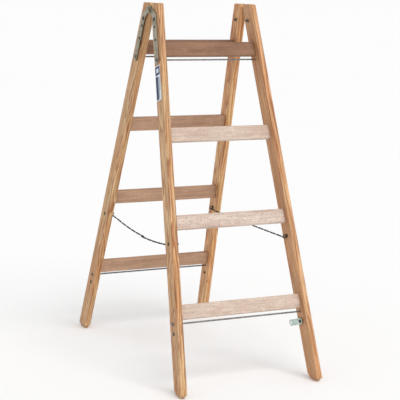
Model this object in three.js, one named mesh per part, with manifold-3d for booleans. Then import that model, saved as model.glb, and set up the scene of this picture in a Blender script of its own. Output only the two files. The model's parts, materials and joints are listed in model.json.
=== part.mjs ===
// Wooden double-sided step ladder: two rung frames hinged together at the top.
// Millimetres, +Z up. X runs along the rungs, the front frame leans towards -Y, and the origin is on
// the ground midway between the four feet. The rest state is the ladder standing open.
import * as THREE from "three";
import { ConvexGeometry } from "three/addons/geometries/ConvexGeometry.js";
import { mergeVertices } from "three/addons/utils/BufferGeometryUtils.js";
import Module from "manifold-3d";

// ---------------------------------------------------------------- driving dimensions
const PIN_HEIGHT = 1123; // hinge axis above the ground
const TOP_ABOVE_PIN = 21; // level stile tops above the hinge axis
const LEAN = THREE.MathUtils.degToRad(18.75); // each frame from the vertical
const FLARE = THREE.MathUtils.degToRad(3.35); // each stile, outwards towards the foot
const HALF_WIDTH_AT_PIN = 169.5; // to the outer face of a stile, level with the hinge axis

const STILE_THICKNESS = 19.5;
const STILE_DEPTH = 57;
const STILE_SETBACK = 4.5; // from the hinge axis to the stile's inner edge
const STILE_CHAMFER = 2;
const TOP_ROUNDING = 14; // inner top corner, which clears the other frame
const FOOT_BEVEL = { height: 14, side: 5, innerEdge: 8, outerEdge: 20 };

const RUNG_COUNT = 4;
const RUNG_PITCH = 270;
const FIRST_RUNG = 137.5; // centre of the top rung, down the frame from the hinge axis
const RUNG = { height: 45, thickness: 20, chamfer: 2.5 };
const TENON = { height: 34, thickness: 12, length: 14 };
const HARDWARE_LINE = STILE_SETBACK + 26; // rungs, rods and eyes, out from the hinge axis

const ROD = { radius: 2.5, headRadius: 4.8, headHeight: 2.8, headPlay: 0.75, belowRung: 33 };
const ROD_WASHER = { inner: 3.3, outer: 6.3, thickness: 1.6 };

// A leaf lies along the hardware line, and its round end is centred on the top tie rod.
const LEAF = { thickness: 2.5, width: 28, eyeRadius: 12.5, standOff: 0.9, layerGap: 0.9 };
// The underside of the neck is drawn in eye radii.
const NECK = { shoulder: 27, armpit: 36, underside: [[-0.6, -0.8], [0.35, -1.05]] };
const CRANK = { start: 19, run: 4 }; // where a cranked neck steps over the other leaf
const LEAF_BOLT = 42; // down the frame from the hinge axis
const LEAF_SCREWS = [66, 108];
const PIN = { radius: 4, clearance: 0.6, headRadius: 8, headHeight: 3.6, headGap: 1.4 };
const BOLT = { radius: 3, headRadius: 6.5, headHeight: 3.2, tail: 8.5 };
const NUT = { flats: 10, thickness: 5 };
const SCREW = { radius: 2, headRadius: 4.2, headHeight: 2.2, length: 15 };

const EYE = { down: 742, ringRadius: 5, wireRadius: 1.4, shankRadius: 2.5, collarRadius: 6.3, collar: 1.5 };
const EYE_RIVET_LENGTH = 2;
// The left chain hangs slack and the right one is nearly taut.
const CHAIN_SAG = { left: 23, right: 2 };
const CHAIN = { radius: 2.3, planeOffset: 2.7, endGap: 5, middleGap: 1.5, steps: 12 };

const CATCH_LINE = 1012; // transport catch and cross rivets, down the frame
const CROSS_RIVET = { radius: 2.5, headRadius: 6, headHeight: 2.2 };
const STRAP = { width: 20, thickness: 2, standOff: 4.6, holeRadius: 5.5 };
const CATCH = { headRadius: 4.8, headHeight: 3.5, shankRadius: 2.5, length: 13 };
const PIVOT = { shoulderRadius: 6.8, neckRadius: 3.5, headRadius: 6.3 }; // of the strap's screw

const GAP = 0.3; // between pieces that touch
const PAST = 1; // how far a cut runs past the face that it opens
const DOME_RIM = 0.25; // straight share of a domed head's height
const ROUND = 12; // sides of a small round piece

// ---------------------------------------------------------------- finishes
const FINISH = {
  pine: { color: 0xc99a68, roughness: 0.62, metalness: 0 },
  beech: { color: 0xd9bfa3, roughness: 0.6, metalness: 0 },
  zinc: { color: 0x9a9d94, roughness: 0.42, metalness: 0.9 },
  steel: { color: 0x8d8f90, roughness: 0.35, metalness: 1 },
  dark_steel: { color: 0x46474a, roughness: 0.45, metalness: 0.9 },
  pale_zinc: { color: 0xb7c8c0, roughness: 0.4, metalness: 0.6 },
};

// ---------------------------------------------------------------- solids
const wasm = await Module();
wasm.setup();

function solidOf(geometry) {
  const bare = new THREE.BufferGeometry().setAttribute("position", geometry.getAttribute("position"));
  if (geometry.index) bare.setIndex(geometry.index);
  const merged = mergeVertices(bare, 1e-4);
  return new wasm.Manifold(
    new wasm.Mesh({
      numProp: 3,
      vertProperties: new Float32Array(merged.attributes.position.array),
      triVerts: new Uint32Array(merged.index.array),
    }),
  );
}

function geometryOf(solid) {
  const mesh = solid.getMesh();
  const geometry = new THREE.BufferGeometry();
  geometry.setAttribute("position", new THREE.BufferAttribute(mesh.vertProperties, mesh.numProp));
  geometry.setIndex(new THREE.BufferAttribute(mesh.triVerts, 1));
  geometry.computeVertexNormals();
  return geometry;
}

const join = (...geometries) =>
  geometryOf(geometries.map(solidOf).reduce((whole, next) => whole.add(next)));

const cut = (geometry, tools) =>
  geometryOf(tools.map(solidOf).reduce((whole, tool) => whole.subtract(tool), solidOf(geometry)));

// A cylinder along X from x0 to x1 through (y, z).
function barX(radius, x0, x1, y = 0, z = 0, sides = ROUND) {
  const bar = new THREE.CylinderGeometry(radius, radius, Math.abs(x1 - x0), sides);
  return bar.rotateZ(Math.PI / 2).translate((x0 + x1) / 2, y, z);
}

// A turned piece along X: profile lists [radius, x] from one end on the axis to the other.
function turnedX(profile, sides = ROUND) {
  const points = profile.map(([radius, x]) => new THREE.Vector2(radius, x));
  return new THREE.LatheGeometry(points, sides).rotateZ(-Math.PI / 2);
}

// Rows of a domed head that stands on x = 0 and rises to x = height.
function dome(radius, height, steps = 3) {
  const rows = [[radius, height * DOME_RIM]];
  for (let i = 1; i <= steps; i++) {
    const turn = (i / steps) * (Math.PI / 2);
    const away = i === steps ? 0 : radius * Math.cos(turn);
    rows.push([away, height * (DOME_RIM + (1 - DOME_RIM) * Math.sin(turn))]);
  }
  return rows;
}

// A pin along X: shank from x = -length to 0, domed head from 0 outwards to +X.
const headedPin = (radius, length, headRadius, headHeight) =>
  turnedX([[0, -length], [radius, -length], [radius, 0], [headRadius, 0], ...dome(headRadius, headHeight)]);

// A plate in the YZ plane, thick along X from x0 to x1, with a closed outline of [y, z] points.
function plateX(outline, x0, x1) {
  const shape = new THREE.Shape(outline.map(([y, z]) => new THREE.Vector2(y, z)));
  const plate = new THREE.ExtrudeGeometry(shape, { depth: Math.abs(x1 - x0), bevelEnabled: false });
  // Shape x, y and depth become Y, Z and X, which is a rotation and keeps the faces outward.
  const turn = new THREE.Matrix4().set(0, 0, 1, Math.min(x0, x1), 1, 0, 0, 0, 0, 1, 0, 0, 0, 0, 0, 1);
  return plate.applyMatrix4(turn);
}

// Outline of a slot-shaped strap between two ends, with round ends of half its width.
function strapOutline([ya, za], [yb, zb], width, steps = 8) {
  const along = Math.atan2(zb - za, yb - ya);
  const outline = [];
  for (const [y, z, start] of [[yb, zb, along - Math.PI / 2], [ya, za, along + Math.PI / 2]]) {
    for (let i = 0; i <= steps; i++) {
      const turn = start + (i / steps) * Math.PI;
      outline.push([y + (width / 2) * Math.cos(turn), z + (width / 2) * Math.sin(turn)]);
    }
  }
  return outline;
}

// ---------------------------------------------------------------- placing pieces
const ladder = new THREE.Group();

function addMesh(parent, name, geometry, finish) {
  const mesh = new THREE.Mesh(geometry, new THREE.MeshStandardMaterial(FINISH[finish]));
  mesh.name = name;
  parent.add(mesh);
  return mesh;
}

// Outer face of a stile at a distance down the frame, in the frame's own X.
const outerFace = (down) => HALF_WIDTH_AT_PIN + down * Math.tan(FLARE);
const innerFace = (down) => outerFace(down) - STILE_THICKNESS / Math.cos(FLARE);

// A frame's own axes: Y out from the hinge axis, Z up along the frame. The rear frame is the same
// frame as the front one, turned half a turn about the vertical.
function makeFrame(label, halfTurn) {
  const group = new THREE.Group();
  group.rotation.set(LEAN, 0, halfTurn, "ZYX");
  group.position.z = PIN_HEIGHT;
  ladder.add(group);
  const frame = { label, group, stiles: {} };
  for (const side of [-1, 1]) {
    const stile = new THREE.Group();
    stile.position.x = side * (HALF_WIDTH_AT_PIN - STILE_THICKNESS / 2 / Math.cos(FLARE));
    stile.rotation.y = -side * FLARE;
    group.add(stile);
    frame.stiles[side] = stile;
  }
  ladder.updateMatrixWorld(true);
  return frame;
}

// Left and right as seen from in front of the ladder.
const sideName = (frame, side) => (side * Math.cos(frame.group.rotation.z) < 0 ? "left" : "right");
const stileName = (frame, side) => `${frame.label}_${sideName(frame, side)}`;

// A point given in the frame's axes, in the axes of one of its stiles.
const toStile = (stile, x, y, z) => new THREE.Vector3(x, y, z).applyMatrix4(stile.matrix.clone().invert());

// The point of a stile's outer or inner face on the line at (y, down) in the frame.
const onFace = (stile, side, face, y, down) => toStile(stile, side * face(down), y, -down);

// ---------------------------------------------------------------- stiles
// The stile is the convex hull of its level foot, its chamfered section and its rounded, level top.
function stileBlank(stile) {
  const e = stile.matrixWorld.elements;
  const heightAt = (level, x, y) => (level - e[2] * x - e[6] * y - e[14]) / e[10];
  const half = STILE_THICKNESS / 2;
  const near = STILE_SETBACK;
  const far = STILE_SETBACK + STILE_DEPTH;
  const top = PIN_HEIGHT + TOP_ABOVE_PIN;
  const c = STILE_CHAMFER;
  const points = [];
  const add = (level, x, y) => points.push(new THREE.Vector3(x, y, heightAt(level, x, y)));
  for (const way of [-1, 1]) {
    for (const [y, inset] of [[near, 1], [far, -1]]) {
      const run = inset > 0 ? FOOT_BEVEL.innerEdge : FOOT_BEVEL.outerEdge;
      add(0, way * (half - FOOT_BEVEL.side), y + inset * run);
      add(FOOT_BEVEL.height, way * half, y + inset * c);
      add(FOOT_BEVEL.height, way * (half - c), y);
    }
    add(top - c, way * half, far - c);
    add(top - c, way * (half - c), far);
    add(top, way * (half - c), far - c);
    const centreY = near + TOP_ROUNDING;
    const centreZ = heightAt(top - TOP_ROUNDING, 0, centreY);
    const steps = 6;
    for (let i = 0; i <= steps; i++) {
      const turn = Math.PI - (i / steps) * (Math.PI / 2 + LEAN);
      for (const [x, radius] of [[half, TOP_ROUNDING - c], [half - c, TOP_ROUNDING]]) {
        const y = centreY + radius * Math.cos(turn);
        points.push(new THREE.Vector3(way * x, y, centreZ + radius * Math.sin(turn)));
      }
    }
  }
  return new ConvexGeometry(points);
}

function rungMortises(frame, stile, side) {
  const toLocal = stile.matrix.clone().invert();
  const cuts = [];
  for (let i = 0; i < RUNG_COUNT; i++) {
    const down = FIRST_RUNG + i * RUNG_PITCH;
    const reach = TENON.length + STILE_THICKNESS;
    const box = new THREE.BoxGeometry(reach, TENON.thickness + 2 * GAP, TENON.height + 2 * GAP);
    const end = innerFace(down) + TENON.length + GAP;
    box.translate(side * (end - reach / 2), HARDWARE_LINE, -down);
    cuts.push(box.applyMatrix4(toLocal));
  }
  return cuts;
}

// A tie rod's hole, along the frame's X through a stile and the leaf on it.
function rodHole(stile, side, down) {
  const outside = side * (outerFace(down) + STILE_THICKNESS / 2);
  const inside = side * (innerFace(down) - STILE_THICKNESS / 2);
  const hole = barX(ROD.radius + GAP, inside, outside, HARDWARE_LINE, -down);
  return hole.applyMatrix4(stile.matrix.clone().invert());
}

// A hole square to the stile: all through, or a pilot of one depth from the outer face.
function squareHole(side, radius, down, depth = STILE_THICKNESS + PAST) {
  const outside = side * (STILE_THICKNESS / 2 + PAST);
  return barX(radius, outside, outside - side * (depth + PAST), HARDWARE_LINE, -down);
}

function addStile(frame, side) {
  const stile = frame.stiles[side];
  const tools = [
    ...rungMortises(frame, stile, side),
    ...rodLines().map((down) => rodHole(stile, side, down)),
    squareHole(side, BOLT.radius + GAP, LEAF_BOLT),
    ...LEAF_SCREWS.map((down) => squareHole(side, SCREW.radius + GAP, down, SCREW.length)),
    squareHole(side, EYE.shankRadius + GAP, EYE.down),
    squareHole(side, CROSS_RIVET.radius + GAP, CATCH_LINE),
  ];
  addMesh(stile, `${stileName(frame, side)}_stile`, cut(stileBlank(stile), tools), "pine");
}

// ---------------------------------------------------------------- rungs and tie rods
function rungBody(down) {
  const halfHeight = RUNG.height / 2;
  const halfThick = RUNG.thickness / 2;
  const c = RUNG.chamfer;
  const points = [];
  for (const side of [-1, 1]) {
    for (const [dy, dz] of [[halfThick, halfHeight - c], [halfThick - c, halfHeight]]) {
      for (const [sy, sz] of [[1, 1], [1, -1], [-1, 1], [-1, -1]]) {
        const z = sz * dz - down;
        points.push(new THREE.Vector3(side * (innerFace(-z) - GAP), HARDWARE_LINE + sy * dy, z));
      }
    }
  }
  return new ConvexGeometry(points);
}

function addRung(frame, index) {
  const down = FIRST_RUNG + index * RUNG_PITCH;
  const tenons = new THREE.BoxGeometry(2 * (innerFace(down) + TENON.length), TENON.thickness, TENON.height);
  tenons.translate(0, HARDWARE_LINE, -down);
  addMesh(frame.group, `${frame.label}_rung_${index + 1}`, join(rungBody(down), tenons), "beech");
}

// The rods lie under the top rung and under the bottom rung.
const rodLines = () => [0, RUNG_COUNT - 1].map((i) => FIRST_RUNG + i * RUNG_PITCH + ROD.belowRung);

// The washers of the top rod press on the hinge leaves, those of the bottom rod on the stiles.
function addRod(frame, place, down, under) {
  const seat = outerFace(down) + under + ROD_WASHER.thickness + ROD.headPlay;
  const head = dome(ROD.headRadius, ROD.headHeight).map(([radius, x]) => [radius, x + seat]);
  const half = [[ROD.radius, seat], [ROD.headRadius, seat], ...head];
  const mirrored = half.map(([radius, x]) => [radius, -x]).reverse();
  const rod = turnedX([...mirrored, ...half]).translate(0, HARDWARE_LINE, -down);
  addMesh(frame.group, `${frame.label}_${place}_tie_rod`, rod, "steel");
  for (const side of [-1, 1]) {
    const stile = frame.stiles[side];
    const { inner, outer, thickness } = ROD_WASHER;
    const ring = turnedX([[inner, 0], [outer, 0], [outer, thickness], [inner, thickness], [inner, 0]]);
    const face = onFace(stile, side, outerFace, HARDWARE_LINE, down);
    const height = under + GAP;
    ring.translate(side > 0 ? face.x + height : face.x - height - thickness, face.y, face.z);
    addMesh(stile, `${stileName(frame, side)}_${place}_rod_washer`, ring, "zinc");
  }
}

// ---------------------------------------------------------------- hinges
// Depths along X from the outer face of the stile, outwards.
const LEAF_LAYER = [LEAF.standOff, LEAF.standOff + LEAF.thickness];
const OUTER_LAYER = LEAF_LAYER.map((depth) => depth + LEAF.thickness + LEAF.layerGap);

const outwards = (side, depth) => side * (STILE_THICKNESS / 2 + depth);

// Where the hinge axis crosses a leaf, in the stile's own axes.
const pinPlace = (stile, side) => toStile(stile, side * (HALF_WIDTH_AT_PIN + LEAF.thickness), 0, 0);

// Outline of a leaf: the arm with its round end, the shoulder, the eye of the hinge and the neck below.
function leafOutline(eyeZ, steps = 8) {
  const half = LEAF.width / 2;
  const far = HARDWARE_LINE + half;
  const outline = [];
  for (let i = 0; i <= steps; i++) {
    const turn = Math.PI + (i / steps) * Math.PI;
    outline.push([HARDWARE_LINE + half * Math.cos(turn), half * Math.sin(turn) - rodLines()[0]]);
  }
  outline.push([far, -NECK.shoulder]);
  const reach = Math.atan2(NECK.shoulder, far);
  for (let i = 0; i <= steps; i++) {
    const turn = Math.PI / 2 - reach + (i / steps) * (Math.PI / 2 + reach);
    outline.push([LEAF.eyeRadius * Math.cos(turn), eyeZ + LEAF.eyeRadius * Math.sin(turn)]);
  }
  for (const [y, z] of NECK.underside) outline.push([LEAF.eyeRadius * y, eyeZ + LEAF.eyeRadius * z]);
  outline.push([HARDWARE_LINE - half, -NECK.armpit]);
  return outline;
}

// A block as tall as a leaf with a four-sided plan of [x, y] corners.
function planBlock(corners) {
  const shape = new THREE.Shape(corners.map(([x, y]) => new THREE.Vector2(x, y)));
  const tall = 2 * (rodLines()[0] + LEAF.width);
  return new THREE.ExtrudeGeometry(shape, { depth: tall, bevelEnabled: false }).translate(0, 0, -tall / 2);
}

// What a cranked leaf lacks: the lower layer short of the crank, and the upper layer beyond it.
function crankCuts(side) {
  const [low, high] = LEAF_LAYER.map((depth) => outwards(side, depth));
  const [neckLow, neckHigh] = OUTER_LAYER.map((depth) => outwards(side, depth));
  const { start, run } = CRANK;
  const reach = HARDWARE_LINE + LEAF.width;
  const below = low - side * PAST;
  const above = neckHigh + side * PAST;
  const end = start + run;
  const under = [[below, -reach], [below, end], [low, end], [neckLow, start], [neckLow, -reach]];
  const over = [[high, end], [neckHigh, start], [above, start], [above, reach], [high, reach]];
  const turned = (corners) => (side > 0 ? [...corners].reverse() : corners);
  return [planBlock(turned(under)), planBlock(turned(over))];
}

// A hole square to a leaf, wherever its layers are.
const leafHole = (side, radius, y, z) =>
  barX(radius, outwards(side, 0), outwards(side, OUTER_LAYER[1] + PAST), y, z);

function addLeaf(frame, side, cranked) {
  const stile = frame.stiles[side];
  const pin = pinPlace(stile, side);
  const top = cranked ? OUTER_LAYER[1] : LEAF_LAYER[1];
  const blank = plateX(leafOutline(pin.z), outwards(side, LEAF_LAYER[0]), outwards(side, top));
  const cuts = [
    leafHole(side, PIN.radius + PIN.clearance, 0, pin.z),
    leafHole(side, BOLT.radius + GAP, HARDWARE_LINE, -LEAF_BOLT),
    ...LEAF_SCREWS.map((down) => leafHole(side, SCREW.radius + GAP, HARDWARE_LINE, -down)),
    rodHole(stile, side, rodLines()[0]),
    ...(cranked ? crankCuts(side) : []),
  ];
  addMesh(stile, `${stileName(frame, side)}_hinge_leaf`, cut(blank, cuts), "zinc");
}

function addLeafFasteners(frame, side) {
  const stile = frame.stiles[side];
  const name = stileName(frame, side);
  const height = LEAF_LAYER[1] + GAP;
  const seat = outwards(side, height);
  const facing = (geometry) => (side > 0 ? geometry : geometry.rotateZ(Math.PI));
  const length = STILE_THICKNESS + height + BOLT.tail;
  const bolt = facing(headedPin(BOLT.radius, length, BOLT.headRadius, BOLT.headHeight));
  addMesh(stile, `${name}_hinge_bolt`, bolt.translate(seat, HARDWARE_LINE, -LEAF_BOLT), "dark_steel");
  const across = NUT.flats / Math.sqrt(3);
  const inner = -outwards(side, GAP);
  const blank = barX(across, inner, inner - side * NUT.thickness, HARDWARE_LINE, -LEAF_BOLT, 6);
  const boreEnd = inner - side * (NUT.thickness + PAST);
  const bore = barX(BOLT.radius + GAP, inner + side * PAST, boreEnd, HARDWARE_LINE, -LEAF_BOLT);
  addMesh(stile, `${name}_hinge_nut`, cut(blank, [bore]), "zinc");
  LEAF_SCREWS.forEach((down, i) => {
    const screw = facing(headedPin(SCREW.radius, SCREW.length, SCREW.headRadius, SCREW.headHeight));
    const place = [seat, HARDWARE_LINE, -down];
    addMesh(stile, `${name}_hinge_screw_${i + 1}`, screw.translate(...place), "dark_steel");
  });
}

// The hinge pin is level along X, through the eyes of both leaves, riveted flush behind the inner one.
function addHingePin(label, way) {
  const start = HALF_WIDTH_AT_PIN + 3 * GAP;
  const seat = HALF_WIDTH_AT_PIN + OUTER_LAYER[1] + PIN.headGap;
  const pin = headedPin(PIN.radius, seat - start, PIN.headRadius, PIN.headHeight);
  if (way < 0) pin.rotateZ(Math.PI);
  addMesh(ladder, `${label}_hinge_pin`, pin.translate(way * seat, 0, PIN_HEIGHT), "zinc");
}

// ---------------------------------------------------------------- chain eyes and chains
const eyeCentreDepth = () => GAP + EYE.collar + EYE.wireRadius + EYE.ringRadius;

// A riveted eye: shank through the stile, collar against the inner face, ring standing inside.
function addChainEye(frame, side) {
  const stile = frame.stiles[side];
  const centre = -outwards(side, eyeCentreDepth());
  const shankEnd = outwards(side, GAP);
  const ring = new THREE.TorusGeometry(EYE.ringRadius, EYE.wireRadius, 6, 18);
  ring.rotateX(Math.PI / 2).translate(centre, 0, 0);
  const collarFace = -outwards(side, GAP);
  const shank = barX(EYE.shankRadius, collarFace - side * (EYE.collar + EYE.wireRadius), shankEnd);
  const collar = barX(EYE.collarRadius, collarFace, collarFace - side * EYE.collar);
  const rivet = headedPin(EYE.shankRadius, EYE_RIVET_LENGTH, CROSS_RIVET.headRadius, CROSS_RIVET.headHeight);
  if (side < 0) rivet.rotateZ(Math.PI);
  const eye = join(ring, shank, collar, rivet.translate(shankEnd, 0, 0));
  eye.translate(0, HARDWARE_LINE, -EYE.down);
  addMesh(stile, `${stileName(frame, side)}_chain_eye`, eye, "dark_steel");
}

// Each chain sags in one arc between the lowest points of its two eye rings. It is made as a front and
// a rear half, side by side in two planes, because the halves swing past each other as the frames close.
function addChainHalf(frame, side) {
  const stile = frame.stiles[side];
  const inside = -outwards(side, eyeCentreDepth());
  const hook = new THREE.Vector3(inside, HARDWARE_LINE, -EYE.down - EYE.ringRadius);
  hook.applyMatrix4(stile.matrixWorld);
  const toMiddle = hook.y < 0 ? 1 : -1;
  const plane = hook.x + Math.sign(hook.x) * toMiddle * CHAIN.planeOffset;
  const span = Math.abs(hook.y);
  const points = [];
  for (let i = 0; i <= CHAIN.steps; i++) {
    const away = span - CHAIN.endGap - (i / CHAIN.steps) * (span - CHAIN.endGap - CHAIN.middleGap);
    const drop = CHAIN_SAG[sideName(frame, side)] * (1 - (away / span) ** 2);
    points.push(new THREE.Vector3(plane, -toMiddle * away, hook.z - drop));
  }
  const section = new THREE.Shape();
  section.absarc(0, 0, CHAIN.radius, 0, 2 * Math.PI);
  const path = new THREE.CatmullRomCurve3(points);
  const sweep = { extrudePath: path, steps: CHAIN.steps, curveSegments: 4, bevelEnabled: false };
  const chain = new THREE.ExtrudeGeometry(section, sweep);
  addMesh(ladder, `${sideName(frame, side)}_chain_${frame.label}_half`, chain, "dark_steel");
}

// ---------------------------------------------------------------- transport catch
function addCrossRivet(frame, side) {
  const stile = frame.stiles[side];
  const half = STILE_THICKNESS / 2 + GAP;
  const { radius: shank, headRadius, headHeight } = CROSS_RIVET;
  const head = dome(headRadius, headHeight).map(([radius, x]) => [radius, x + half]);
  const end = [[shank, half], [headRadius, half], ...head];
  const mirrored = end.map(([radius, x]) => [radius, -x]).reverse();
  const rivet = turnedX([...mirrored, ...end]).translate(0, HARDWARE_LINE, -CATCH_LINE);
  addMesh(stile, `${stileName(frame, side)}_cross_rivet`, rivet, "dark_steel");
}

// The strap turns on a shouldered screw in one stile, and its hole drops over the stud of the other
// frame's stile when the ladder is folded. It stands clear of the stud's head as it turns.
function addCatchStrap(frame, side) {
  const stile = frame.stiles[side];
  const low = -outwards(side, STRAP.standOff);
  const high = -outwards(side, STRAP.standOff + STRAP.thickness);
  const hook = -HARDWARE_LINE;
  const outline = strapOutline([HARDWARE_LINE, -CATCH_LINE], [hook, -CATCH_LINE], STRAP.width);
  const hole = (radius, y) => barX(radius, low + side * PAST, high - side * PAST, y, -CATCH_LINE);
  const holes = [hole(PIVOT.neckRadius + GAP, HARDWARE_LINE), hole(STRAP.holeRadius, hook)];
  addMesh(stile, "catch_strap", cut(plateX(outline, low, high), holes), "pale_zinc");
  const seat = STRAP.standOff + STRAP.thickness + GAP;
  const profile = [
    [0, -CATCH.length - GAP],
    [CATCH.shankRadius, -CATCH.length - GAP],
    [CATCH.shankRadius, GAP],
    [PIVOT.shoulderRadius, GAP],
    [PIVOT.shoulderRadius, STRAP.standOff - GAP],
    [PIVOT.neckRadius, STRAP.standOff - GAP],
    [PIVOT.neckRadius, seat],
    [PIVOT.headRadius, seat],
    ...dome(PIVOT.headRadius, CATCH.headHeight).map(([radius, x]) => [radius, x + seat]),
  ];
  addInnerTurned(stile, side, "catch_strap_screw", profile);
}

function addCatchStud(frame, side) {
  const stile = frame.stiles[side];
  const profile = [
    [0, -CATCH.length - GAP],
    [CATCH.shankRadius, -CATCH.length - GAP],
    [CATCH.shankRadius, GAP],
    [CATCH.headRadius, GAP],
    ...dome(CATCH.headRadius, CATCH.headHeight).map(([radius, x]) => [radius, x + GAP]),
  ];
  addInnerTurned(stile, side, "catch_stud", profile);
}

// A turned piece on the catch line whose profile is measured from the stile's inner face, inwards.
function addInnerTurned(stile, side, name, profile) {
  const piece = turnedX(profile);
  if (side > 0) piece.rotateZ(Math.PI);
  piece.translate(-outwards(side, 0), HARDWARE_LINE, -CATCH_LINE);
  addMesh(stile, name, piece, "dark_steel");
}

// ---------------------------------------------------------------- the ladder
const front = makeFrame("front", Math.PI);
const rear = makeFrame("rear", 0);

for (const frame of [front, rear]) {
  for (const side of [-1, 1]) {
    addStile(frame, side);
    addLeaf(frame, side, side < 0);
    addLeafFasteners(frame, side);
    addChainEye(frame, side);
    addChainHalf(frame, side);
    if (sideName(frame, side) === "left") addCrossRivet(frame, side);
  }
  for (let i = 0; i < RUNG_COUNT; i++) addRung(frame, i);
  const [topLine, bottomLine] = rodLines();
  addRod(frame, "top", topLine, LEAF_LAYER[1]);
  addRod(frame, "bottom", bottomLine, 0);
}
addHingePin("left", -1);
addHingePin("right", 1);
addCatchStrap(front, -1);
addCatchStud(rear, 1);

export default ladder;
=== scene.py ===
"""Wooden double-sided step ladder: pine stiles, beech rungs, zinc-plated hinges, side chains, a catch."""
import json
import math

import bmesh
import bpy
from mathutils import Matrix, Vector


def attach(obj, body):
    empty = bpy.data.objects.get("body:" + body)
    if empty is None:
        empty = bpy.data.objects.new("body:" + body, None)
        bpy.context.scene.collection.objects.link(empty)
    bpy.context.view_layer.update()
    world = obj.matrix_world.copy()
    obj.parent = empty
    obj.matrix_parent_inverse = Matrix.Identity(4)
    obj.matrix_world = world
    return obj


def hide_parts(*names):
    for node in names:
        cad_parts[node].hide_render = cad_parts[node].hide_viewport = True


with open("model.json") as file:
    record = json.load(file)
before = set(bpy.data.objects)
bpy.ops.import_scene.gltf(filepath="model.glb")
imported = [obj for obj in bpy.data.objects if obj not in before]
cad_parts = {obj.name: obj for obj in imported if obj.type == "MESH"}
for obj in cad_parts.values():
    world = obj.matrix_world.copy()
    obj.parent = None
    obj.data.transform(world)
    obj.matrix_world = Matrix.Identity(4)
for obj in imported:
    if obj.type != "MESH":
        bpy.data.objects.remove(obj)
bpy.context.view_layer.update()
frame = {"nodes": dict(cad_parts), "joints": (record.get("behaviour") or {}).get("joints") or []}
NODES = frame["nodes"]
JOINTS = {joint["name"]: joint for joint in frame["joints"]}

# ---------------------------------------------------------------- driving dimensions, in metres
PIN = Vector(JOINTS["fold"]["pos_m"])
LEAN = math.radians(18.75)  # each frame from the vertical
FLARE = math.radians(3.35)  # each stile, outwards towards the foot
HALF_WIDTH_AT_PIN = 0.1695
STILE_THICKNESS = 0.0195
HARDWARE_LINE = 0.0305  # rungs, rods and eyes, out from the hinge axis
RUNG_LINES = [0.1375, 0.4075, 0.6775, 0.9475]  # rung centres, down the frame from the hinge axis
RUNG_BODY_HALF = 0.007  # half a thickness: the tenons have less than this, the rungs more

STILE_ROUNDING = 0.0009
RUNG_ROUNDING = 0.0011
RIM_ROUNDING = 0.00035  # on the kept metal pieces
ONE_POINT = {"wood": 1e-5, "metal": 1e-6}  # corners nearer to each other than this are merged
ONE_FACE = 1.5  # degrees: wooden faces that turn less than this are merged
SHARP_WOOD = 20  # degrees: edges that turn more than this are rounded
SHARP_METAL = 40
NORMAL_WEIGHT = 90

CHAIN_SAG = {"left": 0.023, "right": 0.002}
LINK_COUNT = 13  # in each half
KNOT_LINK = {"width": 0.0034, "wire": 0.0009}  # a figure of eight; every wire is given by its radius
KNOT = {"offset": 0.0010, "radius": 0.0017, "steps": 16}  # two turns of wire round its crossing
JOINING_LINK = {"length": 0.0080, "width": 0.0026, "wire": 0.0009}  # inside sizes; joins the two halves
EYE_WIRE = 0.0014  # of the eye that the first link hangs in
CHAIN_SPREAD = 0.06  # over which a chain half moves from its eye into its own plane
CHAIN_STEPS = 400  # along a half, close enough together to set each link in its place

LABEL = {"down": 0.243, "out": 0.026, "length": 0.110, "width": 0.038, "corner": 0.003}
LABEL_THICKNESS = 0.00025
LABEL_LIFT = 0.00005  # keeps the label clear of the wood
LABEL_CORNER_STEPS = 6

FLOOR = {"radius": 600, "sides": 96}
PAPER = ((0.95, 0.95, 0.95, 1), (0.97, 0.97, 0.97, 1))
WORLD = {"horizon": 1.1, "overhead": 0.6, "height": 0.45}  # strengths; height 1 would be straight up
KEY_SUN = {"height": 52, "heading": 8, "strength": 1.6, "spread": 40}  # angles in degrees, from -Y to +X
# the camera fitted to the photo: heading from +Y towards +X, angles in degrees, lens in millimetres
CAMERA = {"at": (-1.7213, -3.6582, 1.2134), "heading": 25.40, "pitch": -9.85, "roll": 1.27, "lens": 113.46}
SENSOR_WIDTH = 36.0  # in millimetres
VIEW_LIMIT = 500

SIDES = {"left": -1, "right": 1}


# ---------------------------------------------------------------- the ladder's own axes
def frame_axes(label):
    """Y out from the hinge axis, Z up along the frame; the front frame is the rear one turned round."""
    turn = math.pi if label == "front" else 0
    return Matrix.Translation(PIN) @ Matrix.Rotation(turn, 4, "Z") @ Matrix.Rotation(LEAN, 4, "X")


def own_side(label, side):
    """Which side of its own axes a stile is on: 1 or -1."""
    return SIDES[side] * (-1 if label == "front" else 1)


def stile_axes(label, side):
    """X through the board, Y across its broad face, Z up along it."""
    way = own_side(label, side)
    middle = HALF_WIDTH_AT_PIN - STILE_THICKNESS / 2 / math.cos(FLARE)
    offset = Matrix.Translation((way * middle, 0, 0))
    return frame_axes(label) @ offset @ Matrix.Rotation(-way * FLARE, 4, "Y")


def rung_axes(label, index):
    """Z along the rung, so that wood always grows along its piece's own Z."""
    place = Matrix.Translation((0, HARDWARE_LINE, -RUNG_LINES[index]))
    return frame_axes(label) @ place @ Matrix.Rotation(math.pi / 2, 4, "Y")


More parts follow.
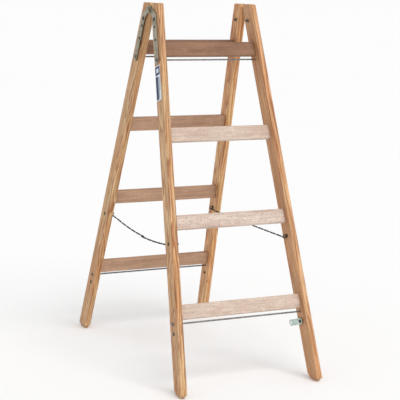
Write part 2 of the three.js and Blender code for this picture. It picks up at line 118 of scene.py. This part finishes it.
# ---------------------------------------------------------------- materials
class Material:
    """A node material built by short calls: an input takes a number, a colour or another node's output."""

    def __init__(self, name):
        self.material = bpy.data.materials.new(name)
        self.material.use_nodes = True
        self.tree = self.material.node_tree
        self.shader = self.tree.nodes["Principled BSDF"]
        self.object_space = self.add("ShaderNodeTexCoord").outputs["Object"]

    def add(self, kind, settings=None, **inputs):
        node = self.tree.nodes.new(kind)
        for key, value in (settings or {}).items():
            setattr(node, key, value)
        for key, value in inputs.items():
            self.feed(node.inputs[key.replace("_", " ")], value)
        return node

    def feed(self, socket, value):
        if isinstance(value, bpy.types.NodeSocket):
            self.tree.links.new(value, socket)
        else:
            socket.default_value = value

    def surface(self, **inputs):
        for key, value in inputs.items():
            self.feed(self.shader.inputs[key.replace("_", " ")], value)

    def place(self, scale, location=(0, 0, 0), vector=None):
        source = self.object_space if vector is None else vector
        return self.add("ShaderNodeMapping", Vector=source, Scale=scale, Location=location).outputs["Vector"]

    def noise(self, vector, scale, detail=3.0, roughness=0.55):
        node = self.add("ShaderNodeTexNoise", Vector=vector, Scale=scale, Detail=detail, Roughness=roughness)
        return node.outputs["Fac"]

    def band(self, value, low, high, to_low=0.0, to_high=1.0):
        node = self.add("ShaderNodeMapRange", Value=value)
        node.inputs["From Min"].default_value = low
        node.inputs["From Max"].default_value = high
        node.inputs["To Min"].default_value = to_low
        node.inputs["To Max"].default_value = to_high
        return node.outputs["Result"]

    def math(self, operation, first, second):
        node = self.add("ShaderNodeMath", {"operation": operation})
        self.feed(node.inputs[0], first)
        self.feed(node.inputs[1], second)
        return node.outputs[0]

    def mix(self, factor, first, second, blend="MIX"):
        """A mix node has sockets for each kind of value; the colours are at inputs 6 and 7 and output 2."""
        node = self.add("ShaderNodeMix", {"data_type": "RGBA", "blend_type": blend})
        self.feed(node.inputs[0], factor)
        self.feed(node.inputs[6], first)
        self.feed(node.inputs[7], second)
        return node.outputs[2]

    def ramp(self, value, stops):
        node = self.add("ShaderNodeValToRGB", Fac=value)
        elements = node.color_ramp.elements
        while len(elements) < len(stops):
            elements.new(1.0)
        for element, (position, color) in zip(elements, stops):
            element.position = position
            element.color = color
        return node.outputs["Color"]

    def bump(self, height, strength, distance=0.0004):
        node = self.add("ShaderNodeBump", Height=height, Strength=strength, Distance=distance)
        self.surface(Normal=node.outputs["Normal"])


def linear(red, green, blue, tint=(1.0, 1.0, 1.0)):
    """A colour named in 0-255 display values, as the linear colour that a shader takes (the sRGB curve)."""
    values = []
    for value, factor in zip((red, green, blue), tint):
        share = value / 255
        share = share / 12.92 if share <= 0.04045 else ((share + 0.055) / 1.055) ** 2.4
        values.append(min(share * factor, 1.0))
    return (*values, 1.0)


def scaled(color, factor):
    return (*(min(channel * factor, 1.0) for channel in color[:3]), 1.0)


def pine(name, pith, seed, tint, ring_scale=46.0):
    """Planed pine: growth rings about a pith beside the board, fine fibres and flecks, warm late wood."""
    m = Material(name)
    shift = (seed * 1.7, seed * 2.3, seed * 0.9)
    drift = m.noise(m.place((1, 1, 0.14), shift), 18.0, 3.0)
    swing = m.add("ShaderNodeCombineXYZ", X=m.band(drift, 0.3, 0.7, -0.014, 0.014), Y=0.0, Z=0.0)
    bent = m.add("ShaderNodeVectorMath", {"operation": "ADD"})
    m.feed(bent.inputs[0], m.object_space)
    m.feed(bent.inputs[1], swing.outputs["Vector"])
    ring_space = m.place((1, 1, 0.05), (*pith, seed), bent.outputs["Vector"])
    wave = m.add(
        "ShaderNodeTexWave",
        {"wave_type": "RINGS", "rings_direction": "Z", "wave_profile": "SAW"},
        Vector=ring_space,
        Scale=ring_scale,
        Distortion=8.5,
        Detail=4.0,
    )
    wave.inputs["Detail Scale"].default_value = 1.1
    rings = m.ramp(
        wave.outputs["Fac"],
        [
            (0.0, linear(228, 194, 152, tint)),
            (0.30, linear(216, 178, 136, tint)),
            (0.58, linear(200, 154, 112, tint)),
            (0.84, linear(168, 112, 74, tint)),
            (1.0, linear(212, 172, 132, tint)),
        ],
    )
    cloud = m.noise(m.place((1, 1, 0.22), shift), 16.0, 2.0)
    warm = m.mix(m.band(cloud, 0.38, 0.64), linear(255, 250, 236), linear(242, 212, 182))
    color = m.mix(0.85, rings, warm, "MULTIPLY")
    streaks = m.noise(m.place((1, 1, 0.03), shift), 240.0, 4.0, 0.65)
    shade = m.band(streaks, 0.32, 0.68, 0.64, 1.28)
    gray = m.add("ShaderNodeCombineColor", Red=shade, Green=shade, Blue=shade)
    color = m.mix(1.0, color, gray.outputs[0], "MULTIPLY")
    flecks = m.noise(m.place((1, 1, 0.22), shift), 420.0, 3.0, 0.7)
    color = m.mix(m.band(flecks, 0.54, 0.70, 0.0, 0.55), color, linear(132, 92, 62))
    fibres = m.noise(m.place((1, 1, 0.012), shift), 900.0, 2.0)
    color = m.mix(m.band(fibres, 0.56, 0.74, 0.0, 0.5), color, linear(124, 82, 52))
    m.surface(Base_Color=color, Roughness=m.band(fibres, 0.25, 0.8, 0.46, 0.66))
    m.surface(IOR=1.45)
    m.bump(m.math("ADD", m.math("MULTIPLY", wave.outputs["Fac"], 0.35), fibres), 0.35)
    return m.material


def beech(name, seed, light, dark, flecks=0.5):
    """Planed beech: close grained, with short dark rays, slow changes of tone and paler worn patches."""
    m = Material(name)
    shift = (seed * 1.3, seed * 2.9, seed * 1.1)
    slow = m.noise(m.place((1, 1, 0.18), shift), 30.0, 3.0)
    grain = m.noise(m.place((1, 1, 0.02), shift), 260.0, 3.0, 0.6)
    color = m.mix(m.band(slow, 0.36, 0.66), light, dark)
    lines = m.band(grain, 0.45, 0.72, 0.0, 0.55)
    color = m.mix(lines, color, scaled(dark, 0.62))
    rays = m.noise(m.place((1, 1, 0.36), shift), 560.0, 2.0, 0.6)
    color = m.mix(m.band(rays, 0.56, 0.66, 0.0, flecks), color, scaled(dark, 0.40))
    wear = m.noise(m.place((1, 1, 0.5), shift), 60.0, 4.0, 0.7)
    color = m.mix(m.band(wear, 0.52, 0.72, 0.0, 0.45), color, scaled(light, 1.18))
    m.surface(Base_Color=color, Roughness=m.band(grain, 0.3, 0.75, 0.48, 0.68))
    m.surface(IOR=1.45)
    m.bump(m.math("ADD", grain, m.math("MULTIPLY", rays, 0.6)), 0.3)
    return m.material


def metal(name, color, dull, roughness, spangle=0.35, scale=260.0, rust=0.0):
    """Steel: mottled and spangled, with duller patches, fine scratches and, where asked for, rust."""
    m = Material(name)
    cells = m.add("ShaderNodeTexVoronoi", {"feature": "SMOOTH_F1"}, Vector=m.object_space, Scale=scale)
    patches = m.noise(m.object_space, 70.0, 4.0, 0.65)
    scratches = m.noise(m.place((1, 1, 0.08)), 1500.0, 2.0, 0.6)
    mottled = m.mix(m.band(patches, 0.40, 0.64), color, dull)
    tone = m.band(cells.outputs["Distance"], 0.0, 0.9, 0.0, spangle)
    mottled = m.mix(tone, mottled, scaled(dull, 1.25))
    if rust:
        mottled = m.mix(m.band(patches, 0.62, 0.72, 0.0, rust), mottled, linear(110, 66, 38))
    level = m.band(patches, 0.3, 0.7, roughness - 0.07, roughness + 0.1)
    m.surface(Base_Color=mottled, Roughness=level)
    m.surface(Metallic=0.9)
    m.bump(m.math("ADD", patches, m.math("MULTIPLY", scratches, 0.4)), 0.18, 0.0002)
    return m.material


def label_print(name):
    """A generic sticker without lettering: pale ground, two dark blue fields and three plain bars."""
    m = Material(name)
    split = m.add("ShaderNodeSeparateXYZ", Vector=m.object_space)
    across, along = split.outputs["Y"], split.outputs["Z"]

    def bar(y0, y1, z0, z1):
        """1 inside a rectangle of the sticker, 0 elsewhere."""
        inside = None
        for value, low, high in ((across, y0, y1), (along, z0, z1)):
            for test, limit in (("GREATER_THAN", low), ("LESS_THAN", high)):
                step = m.math(test, value, limit)
                inside = step if inside is None else m.math("MULTIPLY", inside, step)
        return inside

    ground = linear(214, 226, 238)
    blue = linear(14, 30, 74)
    color = ground
    half = LABEL["length"] / 2
    # each from y0 to y1 across the sticker and from z0 to z1 along it, from its middle
    for y0, y1, z0, z1, ink in (
        (-0.0165, 0.0165, half - 0.030, half - 0.003, blue),
        (-0.0085, 0.0085, half - 0.023, half - 0.010, ground),
        (-0.0165, 0.0020, -half + 0.003, half - 0.034, blue),
        (0.0050, 0.0080, -half + 0.006, half - 0.038, blue),
        (0.0110, 0.0130, -half + 0.030, half - 0.038, blue),
    ):
        color = m.mix(bar(y0, y1, z0, z1), color, ink)
    rub = m.noise(m.object_space, 160.0, 4.0, 0.7)
    color = m.mix(m.band(rub, 0.58, 0.74, 0.0, 0.5), color, linear(205, 208, 205))
    m.surface(Base_Color=color, Roughness=m.band(rub, 0.3, 0.7, 0.45, 0.62))
    m.bump(rub, 0.08, 0.0002)
    return m.material


PINE = {
    "front_left": pine("pine_front_left", (0.052, -0.020), 1.0, (0.92, 0.93, 0.95)),
    "front_right": pine("pine_front_right", (-0.045, 0.030), 2.0, (0.92, 0.86, 0.86)),
    "rear_left": pine("pine_rear_left", (0.060, 0.012), 3.0, (0.91, 0.94, 0.95)),
    "rear_right": pine("pine_rear_right", (-0.038, -0.048), 4.0, (1.07, 1.07, 1.02), 40.0),
}
# TAUPE darkens the top front rung and paints the shade on the top rear rung; TAN is partly the rear rungs'
# own tone and partly painted shade
TAUPE = (linear(154, 114, 88), linear(128, 91, 67))
PINK = (linear(218, 199, 184), linear(198, 172, 154))
CREAM = (linear(220, 202, 188), linear(198, 172, 156))
TAN = (linear(192, 155, 127), linear(166, 127, 100))
RUNG_SEED = {"front": 0.4, "rear": 5.0}
RUNG_TONE_AND_PAINTED_SHADE = {  # from the top rung down: light and dark tone, and how strong the rays are; the top front rung is darker than the three below it, the rear rungs' tan is partly their own tone and partly painted shade on their inner faces, and the top rear rung's taupe is painted shade
    "front": [(TAUPE, 0.5), (PINK, 0.6), (CREAM, 0.95), (PINK, 0.6)],
    "rear": [(TAUPE, 0.4), (TAN, 0.4), (TAN, 0.4), (TAN, 0.4)],
}
ZINC = metal("zinc_plate", linear(168, 160, 142), linear(134, 128, 112), 0.46, rust=0.25)
STEEL = metal("drawn_steel", linear(140, 138, 136), linear(100, 98, 96), 0.38, 0.15, 500.0)
DARK_STEEL = metal("fastener_steel", linear(96, 94, 86), linear(60, 58, 52), 0.44, 0.2, 420.0, 0.35)
CHAIN_STEEL = metal("chain_steel", linear(56, 55, 57), linear(28, 28, 31), 0.46, 0.15, 600.0)
PALE_ZINC = metal("pale_zinc_plate", linear(204, 220, 212), linear(176, 196, 188), 0.38, 0.3, 240.0)


# ---------------------------------------------------------------- meshes
def even_normals(piece):
    """Smooth shading that still leaves the large faces looking flat."""
    piece.data.shade_smooth()
    piece.modifiers.new("even_normals", "WEIGHTED_NORMAL").weight = NORMAL_WEIGHT


def finish_mesh(name, mesh, axes, material, body):
    mesh.materials.append(material)
    piece = bpy.data.objects.new(name, mesh)
    bpy.context.scene.collection.objects.link(piece)
    piece.matrix_world = axes
    even_normals(piece)
    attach(piece, body)
    return piece


def rounded_hull(name, points, axes, rounding, material, body):
    """A piece of wood: the hull of its corners with every arris rounded."""
    bm = bmesh.new()
    for point in points:
        bm.verts.new(point)
    hull = bmesh.ops.convex_hull(bm, input=bm.verts)
    inside = {element for key in ("geom_interior", "geom_unused") for element in hull[key]}
    spare = [element for element in inside if isinstance(element, bmesh.types.BMVert) and element.is_valid]
    bmesh.ops.delete(bm, geom=spare, context="VERTS")
    bmesh.ops.remove_doubles(bm, verts=bm.verts, dist=ONE_POINT["wood"])
    bmesh.ops.dissolve_limit(bm, angle_limit=math.radians(ONE_FACE), verts=bm.verts, edges=bm.edges)
    sharp = [edge for edge in bm.edges if edge.calc_face_angle(0) > math.radians(SHARP_WOOD)]
    bmesh.ops.bevel(bm, geom=sharp, offset=rounding, segments=3, profile=0.5, affect="EDGES")
    bmesh.ops.recalc_face_normals(bm, faces=bm.faces)
    mesh = bpy.data.meshes.new(name)
    bm.to_mesh(mesh)
    bm.free()
    return finish_mesh(name, mesh, axes, material, body)


def corners_in(node, axes, keep=lambda point: True):
    """The corners of a CAD piece, in a piece of wood's own axes."""
    inverse = axes.inverted()
    points = [inverse @ vertex.co for vertex in NODES[node].data.vertices]
    return [point for point in points if keep(point)]


def make_stile(label, side):
    node = f"{label}_{side}_stile"
    axes = stile_axes(label, side)
    wood = PINE[f"{label}_{side}"]
    points = corners_in(node, axes)
    piece = rounded_hull(f"{node}_planed", points, axes, STILE_ROUNDING, wood, f"{label}_frame")
    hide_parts(node)


def make_rung(label, index):
    node = f"{label}_rung_{index + 1}"
    axes = rung_axes(label, index)
    (light, dark), flecks = RUNG_TONE_AND_PAINTED_SHADE[label][index]
    wood = beech(f"beech_{label}_{index + 1}", index + RUNG_SEED[label], light, dark, flecks)
    points = corners_in(node, axes, lambda point: abs(point.y) > RUNG_BODY_HALF)
    piece = rounded_hull(f"{node}_planed", points, axes, RUNG_ROUNDING, wood, f"{label}_frame")
    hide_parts(node)


def dress_hardware():
    """The kept CAD pieces: welded, with their rims softened, and plated."""
    finishes = {  # by what a name holds; all other pieces are zinc plated
        "tie_rod": STEEL,
        "hinge_bolt": DARK_STEEL,
        "hinge_screw": DARK_STEEL,
        "strap_screw": DARK_STEEL,
        "catch_stud": DARK_STEEL,
        "chain_eye": DARK_STEEL,
        "cross_rivet": DARK_STEEL,
        "catch_strap": PALE_ZINC,
    }
    for name, node in NODES.items():
        if node.hide_render:  # replaced by a piece made here
            continue
        finish = next((finish for key, finish in finishes.items() if key in name), ZINC)
        mesh = node.data
        if "custom_normal" in mesh.attributes:
            mesh.attributes.remove(mesh.attributes["custom_normal"])
        mesh.materials.clear()
        mesh.materials.append(finish)
        weld = node.modifiers.new("weld", "WELD")
        weld.merge_threshold = ONE_POINT["metal"]
        rims = node.modifiers.new("rims", "BEVEL")
        rims.limit_method = "ANGLE"
        rims.angle_limit = math.radians(SHARP_METAL)
        rims.width = RIM_ROUNDING
        rims.segments = 2
        even_normals(node)


# ---------------------------------------------------------------- chains
def tube(path, wire, across=8):
    """Vertices and faces of a closed wire along a path of points and outward directions."""
    vertices = []
    for i, (centre, out) in enumerate(path):
        along = (path[(i + 1) % len(path)][0] - path[i - 1][0]).normalized()
        out = (out - along * out.dot(along)).normalized()
        other = along.cross(out)
        for j in range(across):
            swing = 2 * math.pi * j / across
            vertices.append(centre + (out * math.cos(swing) + other * math.sin(swing)) * wire)
    faces = []
    for i in range(len(path)):
        for j in range(across):
            a, b = i * across, ((i + 1) % len(path)) * across
            k = (j + 1) % across
            faces.append((a + j, a + k, b + k, b + j))
    return vertices, faces


def merged(parts):
    """Several lists of vertices and faces as one."""
    vertices = []
    faces = []
    for part_vertices, part_faces in parts:
        faces += [tuple(corner + len(vertices) for corner in face) for face in part_faces]
        vertices += part_vertices
    return vertices, faces


def oval_link(size, around=28):
    """One plain link lying along X, wide along Y."""
    reach = (size["length"] - size["width"]) / 2
    bend = size["width"] / 2 + size["wire"]
    path = []
    for i in range(around):
        turn = 2 * math.pi * i / around
        out = Vector((math.cos(turn), math.sin(turn), 0))
        path.append((out * bend + Vector((math.copysign(reach, math.cos(turn)), 0, 0)), out))
    return tube(path, size["wire"])


def knotted_link(length, around=48):
    """One link lying along X, wide along Z: a figure of eight, knotted where it crosses itself."""
    wire = KNOT_LINK["wire"]
    eight = []
    for i in range(around):
        turn = 2 * math.pi * (i + 0.5) / around
        x = length / 2 * math.cos(turn)
        z = KNOT_LINK["width"] / 2 * math.sin(2 * turn)
        eight.append((Vector((x, wire * math.sin(turn), z)), Vector((0, 1, 0))))
    parts = [tube(eight, wire)]
    for place in (-KNOT["offset"], KNOT["offset"]):
        ring = []
        for i in range(KNOT["steps"]):
            turn = 2 * math.pi * i / KNOT["steps"]
            out = Vector((0, math.cos(turn), math.sin(turn)))
            ring.append((out * KNOT["radius"] + Vector((place, 0, 0)), out))
        parts.append(tube(ring, wire))
    return merged(parts)


def chain_line(side, end):
    """Points from a chain half's eye to the middle of the chain, closely spaced."""
    hook = Vector(JOINTS[f"{side}_chain_{end}_swing"]["pos_m"])
    both = [JOINTS[f"{side}_chain_{name}_swing"]["pos_m"][0] for name in ("front", "rear")]
    ring_x = sum(both) / 2
    span = abs(hook.y)
    points = []
    for i in range(CHAIN_STEPS + 1):
        away = span * (1 - i / CHAIN_STEPS)
        gone = min((span - away) / CHAIN_SPREAD, 1)
        spread = gone * gone * (3 - 2 * gone)
        x = ring_x + (hook.x - ring_x) * spread
        drop = CHAIN_SAG[side] * (1 - (away / span) ** 2)
        points.append(Vector((x, math.copysign(away, hook.y), hook.z - drop)))
    return points


def make_chain(side, end):
    """The first link hangs in its eye, the last reaches the middle; every other one is turned a quarter."""
    line = chain_line(side, end)
    total = sum((after - before).length for before, after in zip(line, line[1:]))
    wire = KNOT_LINK["wire"]
    hang = EYE_WIRE + wire
    pitch = (total + hang - 2 * wire) / LINK_COUNT
    link, link_faces = knotted_link(pitch + 2 * wire)
    links = []
    travelled = 0.0
    wanted = pitch / 2 + wire - hang
    for before, after in zip(line, line[1:]):
        travelled += (after - before).length
        if travelled < wanted or len(links) == LINK_COUNT:
            continue
        along = (after - before).normalized()
        sideways = Vector((0, 0, 1)).cross(along).normalized()
        upright = along.cross(sideways)
        axes = Matrix((along, sideways, upright)).transposed()
        axes = axes @ Matrix.Rotation(math.radians(90 * (len(links) % 2)), 3, "X")
        links.append(([axes @ vertex + after for vertex in link], link_faces))
        wanted += pitch
    if end == "front":
        joining, joining_faces = oval_link(JOINING_LINK)
        middle = (line[-1] + chain_line(side, "rear")[-1]) / 2
        links.append(([vertex + middle for vertex in joining], joining_faces))
    vertices, faces = merged(links)
    name = f"{side}_chain_{end}_links"
    mesh = bpy.data.meshes.new(name)
    mesh.from_pydata(vertices, [], faces)
    piece = finish_mesh(name, mesh, Matrix.Identity(4), CHAIN_STEEL, f"{side}_chain_{end}")
    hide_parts(f"{side}_chain_{end}_half")


# ---------------------------------------------------------------- label
def make_label():
    side = own_side("front", "left")
    axes = stile_axes("front", "left")
    outside = side * (STILE_THICKNESS / 2 + LABEL_THICKNESS / 2 + LABEL_LIFT)
    axes = axes @ Matrix.Translation((outside, LABEL["out"], -LABEL["down"]))
    half_width = LABEL["width"] / 2 - LABEL["corner"]
    half_length = LABEL["length"] / 2 - LABEL["corner"]
    rim = []
    for corner, (y, z) in enumerate(((1, 1), (-1, 1), (-1, -1), (1, -1))):
        for i in range(LABEL_CORNER_STEPS + 1):
            turn = (corner + i / LABEL_CORNER_STEPS) * math.pi / 2
            across = y * half_width + LABEL["corner"] * math.cos(turn)
            along = z * half_length + LABEL["corner"] * math.sin(turn)
            rim.append((across, along))
    count = len(rim)
    vertices = [(x, *point) for x in (-LABEL_THICKNESS / 2, LABEL_THICKNESS / 2) for point in rim]
    faces = [tuple(reversed(range(count))), tuple(range(count, 2 * count))]
    for i in range(count):
        k = (i + 1) % count
        faces.append((i, k, k + count, i + count))
    mesh = bpy.data.meshes.new("front_left_label")
    mesh.from_pydata(vertices, [], faces)
    finish_mesh("front_left_label", mesh, axes, label_print("label_print"), "front_frame")


# ---------------------------------------------------------------- stage, light and camera
def make_floor():
    """A pale paper floor that runs to the horizon."""
    bpy.ops.mesh.primitive_circle_add(vertices=FLOOR["sides"], radius=FLOOR["radius"], fill_type="NGON")
    floor = bpy.context.object
    floor.name = "floor"
    m = Material("floor_paper")
    soft = m.noise(m.object_space, 0.6, 2.0)
    m.surface(Base_Color=m.mix(soft, *PAPER), Roughness=0.9)
    floor.data.materials.append(m.material)


def make_key_sun():
    """Soft light from one direction."""
    data = bpy.data.lights.new("key", "SUN")
    data.energy = KEY_SUN["strength"]
    data.angle = math.radians(KEY_SUN["spread"])
    light = bpy.data.objects.new("key", data)
    light.rotation_euler = (math.radians(90 - KEY_SUN["height"]), 0, math.radians(KEY_SUN["heading"]))
    bpy.context.scene.collection.objects.link(light)


def make_world():
    """Studio surroundings: white at the horizon, dimmer overhead."""
    world = bpy.data.worlds.new("soft_studio")
    world.use_nodes = True
    nodes = world.node_tree.nodes
    links = world.node_tree.links
    coordinates = nodes.new("ShaderNodeTexCoord")
    split = nodes.new("ShaderNodeSeparateXYZ")
    height = nodes.new("ShaderNodeMapRange")
    height.inputs["From Max"].default_value = WORLD["height"]
    height.inputs["To Min"].default_value = WORLD["horizon"]
    height.inputs["To Max"].default_value = WORLD["overhead"]
    links.new(coordinates.outputs["Generated"], split.inputs["Vector"])
    links.new(split.outputs["Z"], height.inputs["Value"])
    links.new(height.outputs["Result"], nodes["Background"].inputs["Strength"])
    nodes["Background"].inputs["Color"].default_value = (1, 1, 1, 1)
    bpy.context.scene.world = world
    bpy.context.scene.view_settings.view_transform = "Standard"


def make_camera():
    heading, pitch, roll = (math.radians(CAMERA[key]) for key in ("heading", "pitch", "roll"))
    ahead = Vector((math.sin(heading), math.cos(heading), 0)) * math.cos(pitch)
    ahead += Vector((0, 0, math.sin(pitch)))
    level = Vector((math.cos(heading), -math.sin(heading), 0))
    above = level.cross(ahead)
    right = level * math.cos(roll) + above * math.sin(roll)
    up = above * math.cos(roll) - level * math.sin(roll)
    data = bpy.data.cameras.new("camera")
    data.lens = CAMERA["lens"]
    data.sensor_width = SENSOR_WIDTH
    data.clip_end = VIEW_LIMIT
    camera = bpy.data.objects.new("camera", data)
    turn = Matrix((right, up, -ahead)).transposed().to_4x4()
    camera.matrix_world = Matrix.Translation(CAMERA["at"]) @ turn
    bpy.context.scene.collection.objects.link(camera)
    bpy.context.scene.camera = camera


make_camera()
for label in ("front", "rear"):
    for side in SIDES:
        make_stile(label, side)
        make_chain(side, label)
    for index in range(len(RUNG_LINES)):
        make_rung(label, index)
dress_hardware()
make_label()
make_floor()
make_world()
make_key_sun()
